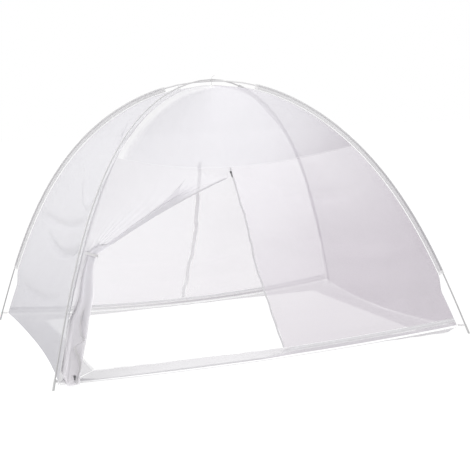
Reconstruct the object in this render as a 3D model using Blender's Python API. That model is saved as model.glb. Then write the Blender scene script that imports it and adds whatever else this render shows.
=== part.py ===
"""A pop-up mosquito net tent: two bent rods cross over a bottomless dome of net.

The rods run corner to corner and cross at the top. Each of their four arms passes through a
sleeve of the net. The long front and back walls are an upper panel over a door of two halves,
closed by an upright zip and one along the bottom. The front door's left half is open and tied
back to its rod. A skirt of net lies on the floor all round and leaves the middle open.

Units are metres. X runs along the length, the open door faces -Y, Z is up, and the origin is on
the floor under the crossing.
"""

import math

import bmesh
import bpy
from mathutils import Vector

# Driving dimensions.
LENGTH = 2.286  # rod foot to rod foot along X
WIDTH = 1.676  # rod foot to rod foot along Y
ROD_RADIUS = 0.004
ROD_BEND = (2.236, -0.908, -0.134)  # an arm's slope in radians, as a cubic of its share
CROSSING_GAP = 0.0006  # between the two rods where they cross
TIP_RADIUS = 0.0055
TIP_LENGTH = 0.055
NET = 0.001  # thickness of a net panel
TAPE = 0.0014  # thickness of a zip tape, strap or hem tape
GAP = 0.0006  # between pieces that touch in the real tent
SEAM_GAP = 0.005  # between the edges of two panels that meet along an arm

# The net hangs from the rods: distances inward from a rod's centreline to the panels' edges.
NET_AT_SLEEVE = 0.0235
NET_AT_PEAK = 0.030
SLEEVE_TOP = 0.123  # shares of an arm, from the crossing to the foot
SLEEVE_END = 0.832
PEAK_SHARE = 0.005
HEM_SHARE_HEIGHT = 0.038  # height of an arm where the net's corner is tied to it
HEM_MIDDLE = 0.005  # height of the hem between its corners
SLEEVE_OUT = 0.0074  # from the rod's centreline to the sleeve's outer side
SLEEVE_DEPTH = 0.0289
SLEEVE_WIDTH = 0.015

SEAM_HEIGHT = 1.055  # of the seam over each door, where it meets the arms
ZIP_WIDTH = 0.024
SILL = 0.034  # height of the strip below a door's bottom zip, at its middle
FRONT_ZIP_SHIFT = 0.021  # how far right of the wall's middle the front zip starts
FRONT_ZIP_DRIFT = 0.034  # and how much further right it ends
SKIRT_WIDTH = 0.18
FALLEN_CLEARANCE = 0.0025  # of the front's fallen strip over the skirt
CORNER_LEAN = 0.45  # how far the strip has already fallen where the corner's seam holds it
TIE_SHARE = 0.680  # where the front left arm holds the tied door half

CORNERS = {
    # name: (side along X, side along Y, sideways sway of the arm at mid reach,
    #        distance of the net's corner from the rod, height of the net's corner)
    "front_left": (-1, -1, -0.062, 0.026, 0.018),
    "front_right": (1, -1, -0.033, 0.048, 0.036),
    "back_left": (-1, 1, 0.099, 0.050, 0.038),
    "back_right": (1, 1, -0.041, 0.048, 0.036),
}
OVER = ("front_left", "back_right")  # the arms of the rod that lies on top

WALLS = {
    # name: (first corner, second corner, way out, droop, sag at three shares of the way down)
    # droop and sag are shares of the wall's width there: down at the seam, and inward.
    "front": ("front_left", "front_right", (0, -1), 0.13, (0.165, 0.085, -0.008)),
    "right": ("front_right", "back_right", (1, 0), 0.04, (0.08, 0.09, 0.03)),
    "back": ("back_right", "back_left", (0, 1), 0.11, (0.17, 0.16, 0.05)),
    "left": ("back_left", "front_left", (-1, 0), 0.04, (0.08, 0.10, 0.03)),
}
SAG_SHARES = (0.38, 0.68, 1.0)  # where on the way from peak to hem the three sags are

COLOURS = {
    # material: (colour, roughness)
    "net": ((0.86, 0.85, 0.88), 0.8),
    "sleeve": ((0.80, 0.80, 0.82), 0.8),
    "tape": ((0.62, 0.60, 0.64), 0.7),
    "rod": ((0.84, 0.84, 0.83), 0.35),
    "tip": ((0.70, 0.70, 0.70), 0.45),
    "slider": ((0.30, 0.29, 0.30), 0.4),
    "cord": ((0.90, 0.90, 0.90), 0.8),
}


def clear_scene():
    for obj in list(bpy.data.objects):
        bpy.data.objects.remove(obj, do_unlink=True)


def material(slot, node):
    colour, roughness = COLOURS[slot]
    made = bpy.data.materials.new(f"{slot}_{node}")
    made.use_nodes = True
    shader = made.node_tree.nodes["Principled BSDF"]
    shader.inputs["Base Color"].default_value = (*colour, 1.0)
    shader.inputs["Roughness"].default_value = roughness
    return made


def add_object(name, data, slot):
    obj = bpy.data.objects.new(name, data)
    data.materials.append(material(slot, name))
    bpy.context.scene.collection.objects.link(obj)
    return obj


def smooth(value, start, end):
    """0 before start, 1 after end, eased between."""
    share = min(1.0, max(0.0, (value - start) / (end - start)))
    return share * share * (3.0 - 2.0 * share)


def spread(start, end, count):
    """count + 1 even values from start to end."""
    return [start + (end - start) * i / count for i in range(count + 1)]


# ---- the rods' line ------------------------------------------------------------------------

ARM_STEPS = 200
ARM_REACH = math.hypot(LENGTH, WIDTH) / 2


def bend_profile():
    """How far out and how far down an arm is at each step, scaled to end at its foot."""
    out, fall = [0.0], [0.0]
    for step in range(ARM_STEPS):
        share = (step + 0.5) / ARM_STEPS
        slope = sum(rate * share ** (power + 1) for power, rate in enumerate(ROD_BEND))
        out.append(out[-1] + math.cos(slope))
        fall.append(fall[-1] + math.sin(slope))
    scale = ARM_REACH / out[-1]
    return [scale * value for value in out], [scale * value for value in fall]


ARM_OUT, ARM_FALL = bend_profile()
HEIGHT = ARM_FALL[-1]  # of the crossing, about 1.42 m
ARM_LENGTH = sum(
    math.hypot(ARM_OUT[i + 1] - ARM_OUT[i], ARM_FALL[i + 1] - ARM_FALL[i])
    for i in range(ARM_STEPS)
)


def profile_at(share):
    place = min(max(share, 0.0), 1.0) * ARM_STEPS
    step = min(int(place), ARM_STEPS - 1)
    part = place - step
    out = ARM_OUT[step] + (ARM_OUT[step + 1] - ARM_OUT[step]) * part
    fall = ARM_FALL[step] + (ARM_FALL[step + 1] - ARM_FALL[step]) * part
    return out, fall


def share_at_height(height):
    """The share of an arm at which it is this high."""
    low, high = 0.0, 1.0
    for _ in range(40):
        middle = (low + high) / 2
        if HEIGHT - profile_at(middle)[1] > height:
            low = middle
        else:
            high = middle
    return (low + high) / 2


def arm_directions(corner):
    """The arm's way out on plan, and the level direction square to it."""
    side_x, side_y = CORNERS[corner][:2]
    out = Vector((side_x * LENGTH / 2, side_y * WIDTH / 2, 0.0)) / ARM_REACH
    return out, Vector((-out.y, out.x, 0.0))


def arm_point(corner, share):
    """A point of the arm's centreline. The rods part a little where one crosses the other."""
    reach, fall = profile_at(share)
    out, across = arm_directions(corner)
    sway = CORNERS[corner][2] * math.sin(math.pi * reach / ARM_REACH)
    lift = (ROD_RADIUS + CROSSING_GAP / 2) * math.exp(-((reach / 0.2) ** 2))
    if corner not in OVER:
        lift = -lift
    return out * reach + across * sway + Vector((0.0, 0.0, HEIGHT - fall + lift))


def arm_frame(corner, share):
    """Along the arm towards its foot, inward square to it, and level across it."""
    step = 0.002
    along = (arm_point(corner, share + step) - arm_point(corner, share - step)).normalized()
    out, _ = arm_directions(corner)
    side = along.cross(Vector((0.0, 0.0, -1.0))).normalized()
    if share < 2 * step:
        along = out.copy()
        side = along.cross(Vector((0.0, 0.0, -1.0))).normalized()
    inward = side.cross(along).normalized()
    if inward.z > 0 or inward.dot(out) > 0.01:
        inward = -inward
    return along, inward, side


TIP_SHARE = 1.0 - TIP_LENGTH / ARM_LENGTH
ROD_END_SHARE = TIP_SHARE - GAP / ARM_LENGTH


# ---- the walls' surface --------------------------------------------------------------------

HEM_SHARE = share_at_height(HEM_SHARE_HEIGHT)
SEAM_SHARE = share_at_height(SEAM_HEIGHT)


def edge_point(corner, share):
    """Where the two walls beside an arm are sewn together. The last stretch comes away from
    the arm, towards the net's corner."""
    _, inward, _ = arm_frame(corner, share)
    foot_distance, foot_height = CORNERS[corner][3:]
    depth = NET_AT_PEAK + (NET_AT_SLEEVE - NET_AT_PEAK) * smooth(share, 0.0, SLEEVE_TOP)
    depth += (foot_distance - NET_AT_SLEEVE) * smooth(share, SLEEVE_END - 0.005, SLEEVE_END + 0.05)
    point = arm_point(corner, share) + inward * depth
    _, foot_inward, _ = arm_frame(corner, HEM_SHARE)
    unlifted = (arm_point(corner, HEM_SHARE) + foot_inward * foot_distance).z
    point.z += (foot_height - unlifted) * smooth(share, SLEEVE_END, HEM_SHARE)
    return point


def sag_at(sags, down):
    """The sag this far down, eased from each of the three values to the next."""
    value = sags[0]
    for i in (1, 2):
        step = smooth(down, SAG_SHARES[i - 1], SAG_SHARES[i])
        value += (sags[i] - sags[i - 1]) * step
    return value


def hem_corner_height(wall):
    first, second = WALLS[wall][:2]
    return (CORNERS[first][4] + CORNERS[second][4]) / 2


def hang_at(wall, share):
    """How far the middle of a wall hangs inward and down from the line between its edges."""
    _, _, way, droop, sags = WALLS[wall]
    down = (share - PEAK_SHARE) / (HEM_SHARE - PEAK_SHARE)
    width = wall_width(wall, share)
    fall = droop * width * (1.0 - down)
    fall += (hem_corner_height(wall) - HEM_MIDDLE) * smooth(down, 0.7, 1.0)
    inward = Vector((-way[0], -way[1], 0.0))
    return inward * sag_at(sags, down) * width - Vector((0.0, 0.0, fall))


def wall_point(wall, share, across):
    """A point of a wall, from its first corner's edge (across 0) to its second's (across 1)."""
    first, second = WALLS[wall][:2]
    start, end = edge_point(first, share), edge_point(second, share)
    return start.lerp(end, across) + hang_at(wall, share) * 4.0 * across * (1.0 - across)


def wall_width(wall, share):
    """The level width of a wall from edge to edge."""
    first, second = WALLS[wall][:2]
    return (edge_point(first, share) - edge_point(second, share)).length


def across_at(wall, share, side, inset):
    """The across value this far from the first edge (side 0), zip line (0.5) or second edge (1).

    The front's zip line is a little aside of the middle, and drifts further towards its foot.
    """
    if side == 0.5 and wall == "front":
        inset += FRONT_ZIP_SHIFT + FRONT_ZIP_DRIFT * smooth(share, 0.75, 1.0)
    step = inset / wall_width(wall, share)
    return side + step if side < 1 else side - step


# ---- making solids -------------------------------------------------------------------------


def sheet(name, rows, slot, thickness=NET):
    """A closed sheet on a grid of points: rows of equal length, thickened to both sides."""
    build = bmesh.new()
    grid = [[build.verts.new(point) for point in row] for row in rows]
    for upper, lower in zip(grid, grid[1:]):
        for i in range(len(upper) - 1):
            build.faces.new((upper[i], lower[i], lower[i + 1], upper[i + 1]))
    mesh = bpy.data.meshes.new(name)
    build.to_mesh(mesh)
    build.free()
    mesh.shade_smooth()
    obj = add_object(name, mesh, slot)
    thick = obj.modifiers.new("thickness", "SOLIDIFY")
    thick.thickness = thickness
    thick.offset = 0.0
    return obj


def rings_to_solid(name, rings, slot, loop=False):
    """A solid through rings of equal length. Its ends are capped, or it closes on itself."""
    build = bmesh.new()
    loops = [[build.verts.new(point) for point in ring] for ring in rings]
    count = len(rings[0])
    pairs = list(zip(loops, loops[1:]))
    if loop:
        pairs.append((loops[-1], loops[0]))
    for one, other in pairs:
        for i in range(count):
            j = (i + 1) % count
            build.faces.new((one[i], one[j], other[j], other[i]))
    if not loop:
        build.faces.new(list(reversed(loops[0])))
        build.faces.new(loops[-1])
    bmesh.ops.recalc_face_normals(build, faces=build.faces)
    mesh = bpy.data.meshes.new(name)
    build.to_mesh(mesh)
    build.free()
    mesh.shade_smooth()
    return add_object(name, mesh, slot)


def round_bar(name, points, radius, slot, resolution=2):
    """A round bar along points, as a bevelled curve with filled ends."""
    curve = bpy.data.curves.new(name, "CURVE")
    curve.dimensions = "3D"
    curve.bevel_depth = radius
    curve.bevel_resolution = resolution
    curve.use_fill_caps = True
    line = curve.splines.new("POLY")
    line.points.add(len(points) - 1)
    for place, point in zip(line.points, points):
        place.co = (*point, 1.0)
    return add_object(name, curve, slot)


def ring_at(centre, across, upright, half_width, half_height, count):
    turns = (2 * math.pi * i / count for i in range(count))
    return [
        centre + across * half_width * math.cos(t) + upright * half_height * math.sin(t)
        for t in turns
    ]


# ---- the frame -----------------------------------------------------------------------------


def make_rod(first, second):
    """One rod, from the foot tip of the first corner over the top to the second's."""
    shares = [ROD_END_SHARE * i / 22 for i in range(23)]
    points = [arm_point(first, share) for share in reversed(shares)]
    points += [arm_point(second, share) for share in shares[1:]]
    round_bar(f"rod_{first}_to_{second}", points, ROD_RADIUS, "rod")


def make_foot_tip(corner):
    """The cap on a rod's end, cut level where it stands on the floor."""
    along, inward, side = arm_frame(corner, 0.99)
    top = arm_point(corner, TIP_SHARE)
    foot = arm_point(corner, 1.0)
    rings = []
    for step, radius in ((0.0, 0.8), (0.06, 1.0), (1.0, 1.0)):
        centre = top.lerp(foot, step)
        size = TIP_RADIUS * radius
        rings.append(ring_at(centre, side, inward, size, size, 12))
    # The last ring slides along the rod until it lies on the floor.
    rings[-1] = [point - along * (point.z / along.z) for point in rings[-1]]
    rings_to_solid(f"foot_tip_{corner}", rings, "tip")


def make_sleeve(corner):
    """The tunnel of net that an arm passes through: a flat oval tube, open at both ends."""
    half_depth = SLEEVE_DEPTH / 2
    outer, inner = [], []
    for share in spread(SLEEVE_TOP, SLEEVE_END, 16):
        _, inward, side = arm_frame(corner, share)
        centre = arm_point(corner, share) + inward * (half_depth - SLEEVE_OUT)
        outer.append(ring_at(centre, side, inward, SLEEVE_WIDTH / 2, half_depth, 10))
        thin = (SLEEVE_WIDTH / 2 - NET, half_depth - NET)
        inner.append(ring_at(centre, side, inward, *thin, 10))
    rings_to_solid(f"sleeve_{corner}", outer + list(reversed(inner)), "sleeve", loop=True)


def make_peak_tie():
    """The short cord that ties the net's peak up to the crossing, with its free end up."""
    peak = Vector((0.0, 0.0, HEIGHT - NET_AT_PEAK - 0.006))
    beside = Vector((0.0, -0.009, 0.0))
    points = [
        peak + Vector((0.0, 0.0, 0.009)),
        peak + Vector((0.0, -0.005, 0.017)),
        Vector((0.0, 0.0, HEIGHT)) + beside,
        Vector((0.0, -0.003, HEIGHT + 0.0125)),
        Vector((0.004, 0.002, HEIGHT + 0.021)),
        Vector((0.021, 0.004, HEIGHT + 0.027)),
    ]
    round_bar("peak_tie", points, 0.0015, "cord", resolution=1)


# ---- the net -------------------------------------------------------------------------------


def panel(name, wall, share_rows, start, end, columns, slot="net"):
    """Part of a wall. start and end are (side, inset) of its two edges."""
    rows = []
    for share in share_rows:
        low = across_at(wall, share, *start)
        high = across_at(wall, share, *end)
        rows.append([wall_point(wall, share, value) for value in spread(low, high, columns)])
    return sheet(name, rows, slot)


UPPER_ROWS, DOOR_ROWS = 6, 9  # rows of faces above and below the seam's height
EDGE = SEAM_GAP / 2
FIRST, SECOND = (0, EDGE), (1, EDGE)


def sill_share(wall):
    """The share at which the middle of a wall is the sill's height above its hem."""
    hem = wall_point(wall, HEM_SHARE, 0.5).z
    share = HEM_SHARE
    while wall_point(wall, share, 0.5).z < hem + SILL:
        share -= 0.0005
    return share


def make_short_wall(wall):
    shares = spread(PEAK_SHARE, SEAM_SHARE, UPPER_ROWS) + door_shares(wall)[1:] + [HEM_SHARE]
    panel(f"{wall}_wall", wall, shares, FIRST, SECOND, 10)


def make_upper_panel(wall):
    bottom = SEAM_SHARE - GAP / ARM_LENGTH
    panel(f"{wall}_upper_panel", wall, spread(PEAK_SHARE, bottom, UPPER_ROWS), FIRST, SECOND, 12)


def door_shares(wall):
    """The rows of a door, from the seam over it to the zip along its bottom."""
    tape = ZIP_WIDTH / 2 / ARM_LENGTH
    top = SEAM_SHARE + GAP / ARM_LENGTH
    return spread(top, sill_share(wall) - 1.15 * tape, DOOR_ROWS)


def make_back_door():
    """Both halves of the back door, zipped together down the middle."""
    shares = door_shares("back")
    tape_edge = ZIP_WIDTH / 2 + GAP
    panel("back_door_left", "back", shares, (0.5, tape_edge), SECOND, 7)
    panel("back_door_right", "back", shares, FIRST, (0.5, -tape_edge), 7)
    zip_ribbon("back_zip", "back", shares, -ZIP_WIDTH / 2, ZIP_WIDTH / 2)


def make_front_door_right():
    """The closed half of the front door, with its half of the upright zip along its edge."""
    shares = door_shares("front")
    panel("front_door_right", "front", shares, (0.5, ZIP_WIDTH / 2 + GAP), SECOND, 8)
    zip_ribbon("front_zip_right_tape", "front", shares, GAP, ZIP_WIDTH / 2)


def zip_ribbon(name, wall, shares, low_inset, high_inset):
    """An upright zip tape in a wall's surface, between two insets from the wall's zip line."""
    rows = []
    for share in shares:
        low = across_at(wall, share, 0.5, low_inset)
        high = across_at(wall, share, 0.5, high_inset)
        rows.append([wall_point(wall, share, low), wall_point(wall, share, high)])
    sheet(name, rows, "tape", TAPE)


def sill_point(wall, rise, across):
    """A point on the strip under a door, rise metres above its hem.

    Where the front door is open, the strip has fallen inward and lies over the skirt.
    """
    standing = wall_point(wall, HEM_SHARE - rise / ARM_LENGTH, across)
    if wall != "front":
        return standing
    lying = skirt_point(wall, across, rise / SKIRT_WIDTH)
    lying.z += NET + 2 * GAP + FALLEN_CLEARANCE * smooth(rise, 0.0, 0.015)
    leaning = CORNER_LEAN + (1.0 - CORNER_LEAN) * smooth(across, 0.0, 0.08)
    fallen = leaning * (1.0 - smooth(across, 0.47, 0.57))
    return standing.lerp(lying, fallen)


def sill_rise(wall):
    """How far above the hem a door's bottom zip runs, measured down the wall."""
    return (HEM_SHARE - sill_share(wall)) * ARM_LENGTH


def sill_band(name, wall, rises, start, end, columns, slot, thickness):
    rows = []
    for rise in rises:
        share = HEM_SHARE - rise / ARM_LENGTH
        low = across_at(wall, share, *start)
        high = across_at(wall, share, *end)
        rows.append([sill_point(wall, rise, value) for value in spread(low, high, columns)])
    sheet(name, rows, slot, thickness)


def make_sill(wall):
    """The strip between a door's bottom zip and the hem, which runs from corner to corner."""
    top = sill_rise(wall) - ZIP_WIDTH / 2 - 3 * GAP
    sill_band(f"{wall}_sill", wall, (top, top / 2, 0.0), FIRST, SECOND, 16, "net", NET)


def make_bottom_zips():
    half = ZIP_WIDTH / 2
    rise = sill_rise("back")
    sill_band("back_bottom_zip", "back", (rise + half, rise - half), FIRST, SECOND, 16, "tape", TAPE)
    rise = sill_rise("front")
    closed = (0.5, GAP)
    sill_band("front_bottom_zip", "front", (rise + half, rise - half), closed, SECOND, 8, "tape", TAPE)
    opened = (0.5, -GAP)
    sill_band("front_sill_tape", "front", (rise, rise - half), FIRST, opened, 8, "tape", TAPE)


# ---- the open door half, tied back ---------------------------------------------------------

FLAP_PLEATS = 5
PLEAT_STEPS = 4  # columns of faces to a pleat
FLAP_TOP_ROWS, FLAP_DROP_ROWS = 9, 9
TIE_RUN = 0.056  # how far the gathered neck reaches from the sewn edge
DROP_RUN = 0.084  # and the loose bunch below it
FOOT_RUN = 0.070  # and its foot
PLEAT_DEPTH = 0.011
NECK_DIP = 0.022  # how much lower its free edge passes the tie than its sewn edge
STILL_ZIPPED = 0.055  # length of the front zip that is still closed over its slider
FLAP_DROP = 0.058  # how far below its sewn corner the bunch reaches


def flap_root(share):
    """The sewn edge of the open half, a seam's gap inside the arm's own edge line."""
    return edge_point("front_left", share) + Vector((EDGE, 0.0, 0.0))


def flap_neck(across):
    """Where the gathered half passes the tie, from its sewn edge to its free edge."""
    return flap_root(TIE_SHARE) + Vector((0.006 + TIE_RUN * across, 0.0, -NECK_DIP * across))


def flap_upper(across, down):
    """A point between the seam over the door and the tie. Its free edge runs straight."""
    top_share = SEAM_SHARE + GAP / ARM_LENGTH
    start = across_at("front", top_share, *FIRST)
    end = across_at("front", top_share, 0.5, 0.0)
    along_seam = start + (end - start) * across
    top = wall_point("front", top_share, along_seam)
    neck = flap_neck(across)
    point = top.lerp(neck, down)
    root = flap_root(top_share + (TIE_SHARE - top_share) * down)
    straight = wall_point("front", top_share, start).lerp(flap_neck(0.0), down)
    point += (root - straight) * (1.0 - across) ** 3
    # Its first stretch is still zipped: the free edge leaves the zip line below the seam.
    zipped = STILL_ZIPPED * across**2 * smooth(down, 0.0, 0.1) * (1.0 - down)
    slack = Vector((0.0, 0.02, 0.019)) * math.sin(math.pi * down) * across
    return point + slack - Vector((0.0, 0.0, zipped))


def flap_lower(across, down):
    """A point of the bunch that hangs from the tie beside the arm's lower end."""
    end = door_shares("front")[-1]
    share = TIE_SHARE + (end - TIE_SHARE) * down
    run = TIE_RUN + (DROP_RUN - TIE_RUN) * smooth(down, 0.1, 0.4)
    run += (FOOT_RUN - DROP_RUN) * smooth(down, 0.5, 1.0)
    forward = 0.030 * smooth(across, 0.0, 0.2) * smooth(down, 0.5, 1.0)
    slack = Vector((0.006 + run * across, -forward, 0.0))
    drop = FLAP_DROP * smooth(across, 0.0, 0.3) * down**2 + NECK_DIP * across * (1.0 - down)
    return flap_root(share) + slack - Vector((0.0, 0.0, drop))


def flap_point(across, down):
    """down runs from 0 at the seam to 1 at the tie and 2 at the bottom. Pleats deepen to the tie."""
    point = flap_upper(across, down) if down <= 1.0 else flap_lower(across, down - 1.0)
    depth = PLEAT_DEPTH * smooth(down, 0.35, 1.0) * (1.0 - 0.25 * smooth(down, 1.4, 2.0))
    uneven = 1.0 + 0.35 * math.sin(2.3 * across * FLAP_PLEATS + 3.0 * down)
    wave = math.sin(2.0 * math.pi * FLAP_PLEATS * across) * smooth(across, 0.0, 0.08)
    return point + Vector((0.0, -1.0, 0.0)) * depth * wave * uneven


def make_flap():
    columns = spread(0.0, 1.0, FLAP_PLEATS * PLEAT_STEPS)
    downs = spread(0.0, 1.0, FLAP_TOP_ROWS) + spread(1.0, 2.0, FLAP_DROP_ROWS)[1:]
    rows = [[flap_point(across, down) for across in columns] for down in downs]
    sheet("front_door_left", rows, "net")


def make_flap_tape():
    """The open half's side of the upright zip, hanging from its free edge up to the tie."""
    rows = []
    for down in spread(0.10, 0.93, 8):
        edge = flap_point(1.0, down)
        beyond = (edge - flap_point(0.96, down)).normalized()
        rows.append([edge + beyond * 2 * GAP, edge + beyond * ZIP_WIDTH / 2])
    sheet("front_zip_left_tape", rows, "tape", TAPE)


def make_tie_band():
    """The strap from the arm's seam round the gathered half, like a C open to the arm."""
    centre = flap_lower(0.5, 0.015)
    outer_run, inner_run, half_depth, straight = 0.026, 0.012, 0.0245, 0.014
    offsets = [(-outer_run, -half_depth)]
    for turn in spread(-math.pi / 2, math.pi / 2, 8):
        offsets.append((straight + half_depth * math.cos(turn), half_depth * math.sin(turn)))
    offsets.append((-inner_run, half_depth))
    dip = NECK_DIP / TIE_RUN
    path = [centre + Vector((run, depth, -dip * run)) for run, depth in offsets]
    height = Vector((0.0, 0.0, 0.007))
    sheet("tie_back_band", [[point + height, point - height] for point in path], "cord", TAPE)


# ---- skirt, straps and sliders -------------------------------------------------------------

OPENING = {
    # name: the corner of the opening that the skirt leaves in the floor
    "front_left": (-0.885, -0.585),
    "front_right": (0.925, -0.665),
    "back_right": (0.925, 0.665),
    "back_left": (-0.885, 0.665),
}
SKIRT_DROP = 0.28  # the share of the skirt's width over which it comes down to the floor


def skirt_point(wall, across, inward):
    """A point of the skirt, from the hem (inward 0) to the opening in the floor (1)."""
    first, second = WALLS[wall][:2]
    outer = wall_point(wall, HEM_SHARE, across) - Vector((0.0, 0.0, NET + 2 * GAP))
    start = Vector((*OPENING[first], NET / 2))
    inner = start.lerp(Vector((*OPENING[second], NET / 2)), across)
    point = outer.lerp(inner, inward)
    point.z = outer.z + (NET / 2 - outer.z) * smooth(inward, 0.0, SKIRT_DROP)
    return point


def make_skirt(wall):
    rows = []
    for inward in (0.0, 0.1, 0.2, SKIRT_DROP, 0.65, 1.0):
        inset = SEAM_GAP / wall_width(wall, HEM_SHARE)
        values = spread(inset, 1.0 - inset, 14)
        rows.append([skirt_point(wall, across, inward) for across in values])
    sheet(f"{wall}_skirt", rows, "net")


def make_corner_strap(corner):
    """The strap that ties a corner of the net to its rod's foot."""
    along, inward, side = arm_frame(corner, HEM_SHARE)
    start = edge_point(corner, HEM_SHARE) - along * 0.012
    end = arm_point(corner, HEM_SHARE) - along * 0.010
    way = (end - start).normalized()
    rows = []
    for reach in (0.004, (end - start).length - TIP_RADIUS - 2 * GAP):
        point = start + way * reach
        rows.append([point - along * 0.006, point + along * 0.006])
    sheet(f"corner_strap_{corner}", rows, "cord", TAPE)


def make_slider(name, place, down, out):
    """A zip slider with its pull hanging down: one flat tapered solid."""
    side = down.cross(out).normalized()
    outline = (
        # along the slider, half its width
        (-0.006, 0.003),
        (-0.004, 0.0055),
        (0.006, 0.0045),
        (0.008, 0.0022),
        (0.024, 0.003),
        (0.030, 0.0015),
    )
    rings = []
    for along, half in outline:
        centre = place + down * along
        thin = 0.0022 if along < 0.007 else 0.0010
        rings.append(
            [
                centre + side * half + out * thin,
                centre - side * half + out * thin,
                centre - side * half - out * thin,
                centre + side * half - out * thin,
            ]
        )
    rings_to_solid(name, rings, "slider")


def slider_place(wall, share, stand_off):
    """A place on a wall's zip line, the way down along it, and the way out of it."""
    across = across_at(wall, share, 0.5, 0.0)
    place = wall_point(wall, share, across)
    down = (wall_point(wall, share + 0.01, across) - place).normalized()
    level = Vector((1.0, 0.0, 0.0)) if WALLS[wall][2][1] < 0 else Vector((-1.0, 0.0, 0.0))
    out = level.cross(-down).normalized()
    if out.dot(Vector((*WALLS[wall][2], 0.0))) < 0:
        out = -out
    return place + out * stand_off, down, out


def make_sliders():
    make_slider("front_zip_slider", *slider_place("front", SEAM_SHARE + 0.018, 0.0050))
    make_slider("back_zip_slider", *slider_place("back", sill_share("back") - 0.022, 0.0045))
    bunch = flap_point(0.6, 1.94)
    bunch.y = -WIDTH / 2
    make_slider("flap_zip_slider", bunch, Vector((0.0, 0.0, -1.0)), Vector((0.0, -1.0, 0.0)))


def main():
    clear_scene()
    make_rod("front_left", "back_right")
    make_rod("back_left", "front_right")
    for corner in CORNERS:
        make_foot_tip(corner)
        make_sleeve(corner)
        make_corner_strap(corner)
    make_peak_tie()
    for wall in ("left", "right"):
        make_short_wall(wall)
    for wall in ("front", "back"):
        make_upper_panel(wall)
        make_sill(wall)
    for wall in WALLS:
        make_skirt(wall)
    make_back_door()
    make_front_door_right()
    make_bottom_zips()
    make_flap()
    make_flap_tape()
    make_tie_band()
    make_sliders()


main()
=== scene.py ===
"""The looks of a pop-up mosquito net tent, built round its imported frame.

The bent rods, their tips and the zips' sliders stay as the CAD has them, with new materials.
Every piece of cloth is made again here as a thin sheer sheet on the same surface, with its folds,
hems and weave: panels, doors, sleeves, skirt, zips and straps. Units are metres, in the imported
part's frame.
"""

import math

import bpy
import numpy as np
from mathutils import Matrix, Vector


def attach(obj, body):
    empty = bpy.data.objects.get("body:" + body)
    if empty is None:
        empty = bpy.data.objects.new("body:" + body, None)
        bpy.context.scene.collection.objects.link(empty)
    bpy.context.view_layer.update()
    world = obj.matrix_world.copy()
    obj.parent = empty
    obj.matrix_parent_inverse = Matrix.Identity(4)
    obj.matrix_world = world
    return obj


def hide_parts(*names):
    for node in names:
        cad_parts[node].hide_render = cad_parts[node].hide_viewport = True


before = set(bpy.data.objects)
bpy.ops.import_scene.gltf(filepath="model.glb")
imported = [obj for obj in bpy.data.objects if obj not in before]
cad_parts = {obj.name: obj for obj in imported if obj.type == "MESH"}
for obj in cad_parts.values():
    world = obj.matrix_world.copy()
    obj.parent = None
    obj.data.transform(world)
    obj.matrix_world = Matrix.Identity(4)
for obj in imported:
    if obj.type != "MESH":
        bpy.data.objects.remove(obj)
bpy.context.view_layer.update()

# ---- sizes, as the part's own source has them ----------------------------------------------

LENGTH, WIDTH = 2.286, 1.676
ROD_RADIUS = 0.004
ROD_BEND = (2.236, -0.908, -0.134)
CROSSING_GAP = 0.0006
TIP_RADIUS = 0.0055
NET, GAP, SEAM_GAP = 0.001, 0.0006, 0.005
NET_AT_SLEEVE, NET_AT_PEAK = 0.0235, 0.030
SLEEVE_TOP, SLEEVE_END = 0.123, 0.832
PEAK_SHARE = 0.005
HEM_SHARE_HEIGHT, HEM_MIDDLE = 0.038, 0.005
SLEEVE_OUT, SLEEVE_DEPTH, SLEEVE_WIDTH = 0.0074, 0.0289, 0.015
SEAM_HEIGHT = 1.055
ZIP_WIDTH = 0.024
SILL = 0.034
FRONT_ZIP_SHIFT, FRONT_ZIP_DRIFT = 0.021, 0.034
SKIRT_WIDTH, SKIRT_DROP = 0.18, 0.28
FALLEN_CLEARANCE, CORNER_LEAN = 0.0025, 0.45
TIE_SHARE = 0.680

CORNERS = {
    # name: (side along X, side along Y, sway of the arm, distance of the net's corner from
    #        the rod, height of the net's corner)
    "front_left": (-1, -1, -0.062, 0.026, 0.018),
    "front_right": (1, -1, -0.033, 0.048, 0.036),
    "back_left": (-1, 1, 0.099, 0.050, 0.038),
    "back_right": (1, 1, -0.041, 0.048, 0.036),
}
OVER = ("front_left", "back_right")
WALLS = {
    # name: (first corner, second corner, way out, droop, sag at three shares of the way down)
    "front": ("front_left", "front_right", (0, -1), 0.13, (0.165, 0.085, -0.008)),
    "right": ("front_right", "back_right", (1, 0), 0.04, (0.08, 0.09, 0.03)),
    "back": ("back_right", "back_left", (0, 1), 0.11, (0.17, 0.16, 0.05)),
    "left": ("back_left", "front_left", (-1, 0), 0.04, (0.08, 0.10, 0.03)),
}
SAG_SHARES = (0.38, 0.68, 1.0)
RODS = ["rod_front_left_to_back_right", "rod_back_left_to_front_right"]
OPENING = {
    "front_left": (-0.885, -0.585),
    "front_right": (0.925, -0.665),
    "back_right": (0.925, 0.665),
    "back_left": (-0.885, 0.665),
}
FLOOR_LAYER = NET / 2

# ---- how the pieces are meshed -------------------------------------------------------------

CLOTH_STEP = 0.016  # spacing of a panel's points
HEM = 0.011  # width of a folded and sewn edge
SEAM = 0.006  # width of a narrow seam, which shows less
HIGHLIGHT_EDGE = 0.060  # width of a band of painted highlight, lighter and closer net, along a panel's edge by a sleeve
NO_HEMS = (0, 0, 0, 0)
HEM_REACH = 1.05  # a hem's look reaches this many times its width, over its last row of points
SEAM_SHOWS, HIGHLIGHT_SHOWS = 0.12, 0.8  # how much of a hem's look seams and the band of painted highlight have
FIXED_REACH = 0.05  # folds fade out this close to a sewn edge


def smooth(value, start, end):
    """0 before start, 1 after end, eased between. Takes numbers or arrays."""
    share = np.clip((np.asarray(value, float) - start) / (end - start), 0.0, 1.0)
    return share * share * (3.0 - 2.0 * share)


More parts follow.
